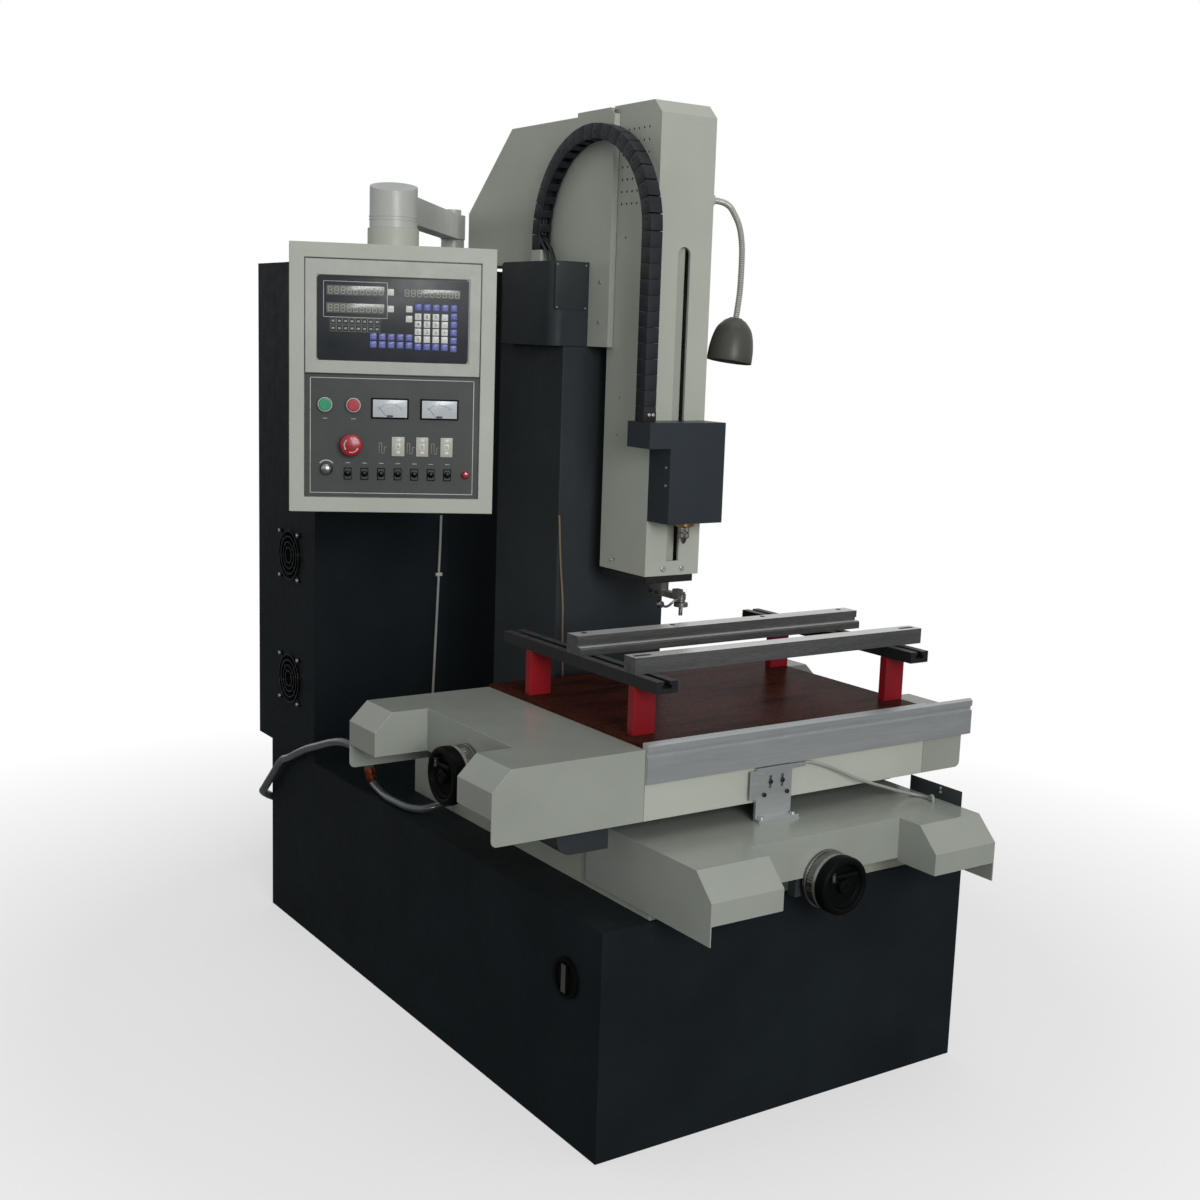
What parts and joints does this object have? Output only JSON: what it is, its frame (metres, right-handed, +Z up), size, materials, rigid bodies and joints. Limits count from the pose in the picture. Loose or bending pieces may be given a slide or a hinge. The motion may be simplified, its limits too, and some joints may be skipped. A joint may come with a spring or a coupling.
{
  "type": "electrical discharge drilling machine",
  "caption": "Small-hole electrical discharge drilling machine: cabinet base, cross-slide granite table, vertical head on a column, control pendant on an arm and a work light.",
  "frame": {"origin": "centre of the base cabinet's underside, on the floor", "axes": "+Z up, +Y from the front handwheel towards the electrical cabinet, +X to the right of someone at the front"},
  "size_m": [1.1247, 1.697, 1.864],
  "materials": {
    "dark_paint": "satin dark blue-grey enamel",
    "dark_casting": "painted casting, dark blue-grey",
    "light_paint": "semi-gloss light grey enamel",
    "bed_paint": "painted casting, light grey",
    "bare_steel": "ground steel",
    "chrome_wire": "bright plated",
    "black_metal": "black oxide",
    "black_plastic": "matt black",
    "panel_grey": "dark grey panel",
    "dro_plastic": "light grey bezel",
    "green_cap": "green push button",
    "red_cap": "red push button",
    "brass": "turned brass and steel",
    "granite": "polished red-brown granite",
    "aluminium": "anodised extrusion",
    "pillar_red": "red enamel",
    "hose": "translucent hose",
    "cable": "grey cable",
    "lamp_grey": "dark grey enamel",
    "gooseneck": "ribbed metal hose"
  },
  "bodies": {
    "machine": {"base_cabinet": "dark_paint", "bed": "bed_paint", "column": "dark_casting", "column_head": "dark_casting", "hood_rear": "light_paint", "hood_front": "light_paint", "cabinet_body": "dark_paint", "fan_units": "black_metal", "arm_post": "light_paint", "chain_left": "black_plastic", "hose_long": "hose", "hose_short": "hose"},
    "latch": {"base_latch": "black_metal"},
    "fan_upper": {"fan_rotor_upper": "black_plastic"},
    "fan_lower": {"fan_rotor_lower": "black_plastic"},
    "arm": {"pendant_arm": "light_paint"},
    "pendant": {"pendant_box": "light_paint", "dro_unit": "dro_plastic", "control_panel": "panel_grey"},
    "start": {"start_button": "green_cap"},
    "stop": {"stop_button": "red_cap"},
    "estop": {"estop_button": "red_cap"},
    "switch_1": {"toggle_1": "bare_steel"},
    "switch_2": {"toggle_2": "bare_steel"},
    "switch_3": {"toggle_3": "bare_steel"},
    "switch_4": {"toggle_4": "bare_steel"},
    "switch_5": {"toggle_5": "bare_steel"},
    "switch_6": {"toggle_6": "bare_steel"},
    "switch_7": {"toggle_7": "bare_steel"},
    "knob": {"power_knob": "bare_steel"},
    "w_axis": {"casing": "light_paint", "slot_band": "light_paint", "casing_base": "black_metal", "guide_arm": "bare_steel", "chain_arch": "black_plastic", "chain_right": "black_plastic", "lamp_gooseneck": "gooseneck", "lamp_shade": "lamp_grey"},
    "head": {"head_cover": "dark_paint", "head_carriage": "bare_steel"},
    "spindle": {"spindle_chuck": "brass"},
    "saddle": {"saddle": "dark_casting", "y_cover": "light_paint", "scale_bracket": "aluminium", "scale_cable": "cable"},
    "y_wheel": {"y_handwheel": "black_plastic", "y_screw": "bare_steel"},
    "y_grip": {"y_handle": "black_plastic"},
    "table": {"table_body": "dark_casting", "granite_top": "granite", "edge_profile": "aluminium", "front_panel": "light_paint", "x_cover_left": "light_paint", "x_cover_right": "light_paint", "fixture_rails": "black_metal", "fixture_pillars": "pillar_red", "fixture_bars": "bare_steel"},
    "x_wheel": {"x_handwheel": "black_plastic", "x_screw": "bare_steel"},
    "x_grip": {"x_handle": "black_plastic"}
  },
  "joints": [
    {"name": "latch_turn", "type": "hinge", "parent": "machine", "child": "latch", "pos_m": [-0.432, -0.62, 0.305], "axis": [1, 0, 0], "range_deg": [0, 90]},
    {"name": "fan_upper_spin", "type": "hinge", "parent": "machine", "child": "fan_upper", "pos_m": [-0.4145, 0.611, 0.889], "axis": [1, 0, 0], "continuous": true},
    {"name": "fan_lower_spin", "type": "hinge", "parent": "machine", "child": "fan_lower", "pos_m": [-0.4145, 0.611, 0.595], "axis": [1, 0, 0], "continuous": true},
    {"name": "arm_swing", "type": "hinge", "parent": "machine", "child": "arm", "pos_m": [-0.06, 0.533, 1.65], "axis": [0, 0, 1], "range_deg": [-60, 0]},
    {"name": "pendant_swivel", "type": "hinge", "parent": "arm", "child": "pendant", "pos_m": [-0.44373, 0.06915, 1.612], "axis": [0, 0, 1], "range_deg": [-60, 60]},
    {"name": "start_press", "type": "slide", "parent": "pendant", "child": "start", "axis": [0.4147, 0.91, 0], "range_m": [0, 0.004], "stiffness_N_per_m": 300},
    {"name": "stop_press", "type": "slide", "parent": "pendant", "child": "stop", "axis": [0.4147, 0.91, 0], "range_m": [0, 0.004], "stiffness_N_per_m": 300},
    {"name": "estop_press", "type": "slide", "parent": "pendant", "child": "estop", "axis": [0.4147, 0.91, 0], "range_m": [0, 0.006]},
    {"name": "toggle_1_flip", "type": "hinge", "parent": "pendant", "child": "switch_1", "pos_m": [-0.54889, 0.04674, 1.133], "axis": [0.91, -0.4147, 0], "range_deg": [0, 24]},
    {"name": "toggle_2_flip", "type": "hinge", "parent": "pendant", "child": "switch_2", "pos_m": [-0.51923, 0.03322, 1.133], "axis": [0.91, -0.4147, 0], "range_deg": [0, 24]},
    {"name": "toggle_3_flip", "type": "hinge", "parent": "pendant", "child": "switch_3", "pos_m": [-0.48956, 0.01971, 1.133], "axis": [0.91, -0.4147, 0], "range_deg": [0, 24]},
    {"name": "toggle_4_flip", "type": "hinge", "parent": "pendant", "child": "switch_4", "pos_m": [-0.4599, 0.00619, 1.133], "axis": [0.91, -0.4147, 0], "range_deg": [0, 24]},
    {"name": "toggle_5_flip", "type": "hinge", "parent": "pendant", "child": "switch_5", "pos_m": [-0.43023, -0.00733, 1.133], "axis": [0.91, -0.4147, 0], "range_deg": [0, 24]},
    {"name": "toggle_6_flip", "type": "hinge", "parent": "pendant", "child": "switch_6", "pos_m": [-0.40057, -0.02085, 1.133], "axis": [0.91, -0.4147, 0], "range_deg": [0, 24]},
    {"name": "toggle_7_flip", "type": "hinge", "parent": "pendant", "child": "switch_7", "pos_m": [-0.3709, -0.03437, 1.133], "axis": [0.91, -0.4147, 0], "range_deg": [0, 24]},
    {"name": "power_knob_turn", "type": "hinge", "parent": "pendant", "child": "knob", "pos_m": [-0.58674, 0.06399, 1.142], "axis": [0.4147, 0.91, 0], "range_deg": [-135, 135]},
    {"name": "w_slide", "type": "slide", "parent": "machine", "child": "w_axis", "axis": [0, 0, 1], "range_m": [-0.015, 0.18], "deforming": ["chain_left"]},
    {"name": "z_slide", "type": "slide", "parent": "w_axis", "child": "head", "axis": [0, 0, 1], "range_m": [-0.06, 0.27], "deforming": ["chain_right"]},
    {"name": "spindle_spin", "type": "hinge", "parent": "head", "child": "spindle", "pos_m": [0, -0.333, 1.05], "axis": [0, 0, 1], "continuous": true},
    {"name": "y_slide", "type": "slide", "parent": "machine", "child": "saddle", "axis": [0, 1, 0], "range_m": [-0.15, 0.03]},
    {"name": "x_slide", "type": "slide", "parent": "saddle", "child": "table", "axis": [1, 0, 0], "range_m": [0, 0.235]},
    {"name": "y_wheel_turn", "type": "hinge", "parent": "saddle", "child": "y_wheel", "pos_m": [0, -0.7953, 0.469], "axis": [0, 1, 0], "continuous": true},
    {"name": "x_wheel_turn", "type": "hinge", "parent": "saddle", "child": "x_wheel", "pos_m": [-0.5198, -0.407, 0.6338], "axis": [1, 0, 0], "continuous": true},
    {"name": "y_grip_fold", "type": "hinge", "parent": "y_wheel", "child": "y_grip", "pos_m": [0.026, -0.8458, 0.489], "axis": [0, 0, 1], "range_deg": [0, 90]},
    {"name": "x_grip_fold", "type": "hinge", "parent": "x_wheel", "child": "x_grip", "pos_m": [-0.5703, -0.433, 0.6538], "axis": [0, 0, 1], "range_deg": [0, 90]}
  ],
  "couplings": [
    {"joint": "y_wheel_turn", "follows": "y_slide", "rad_per_m": 1256.6},
    {"joint": "x_wheel_turn", "follows": "x_slide", "rad_per_m": 1256.6}
  ]
}
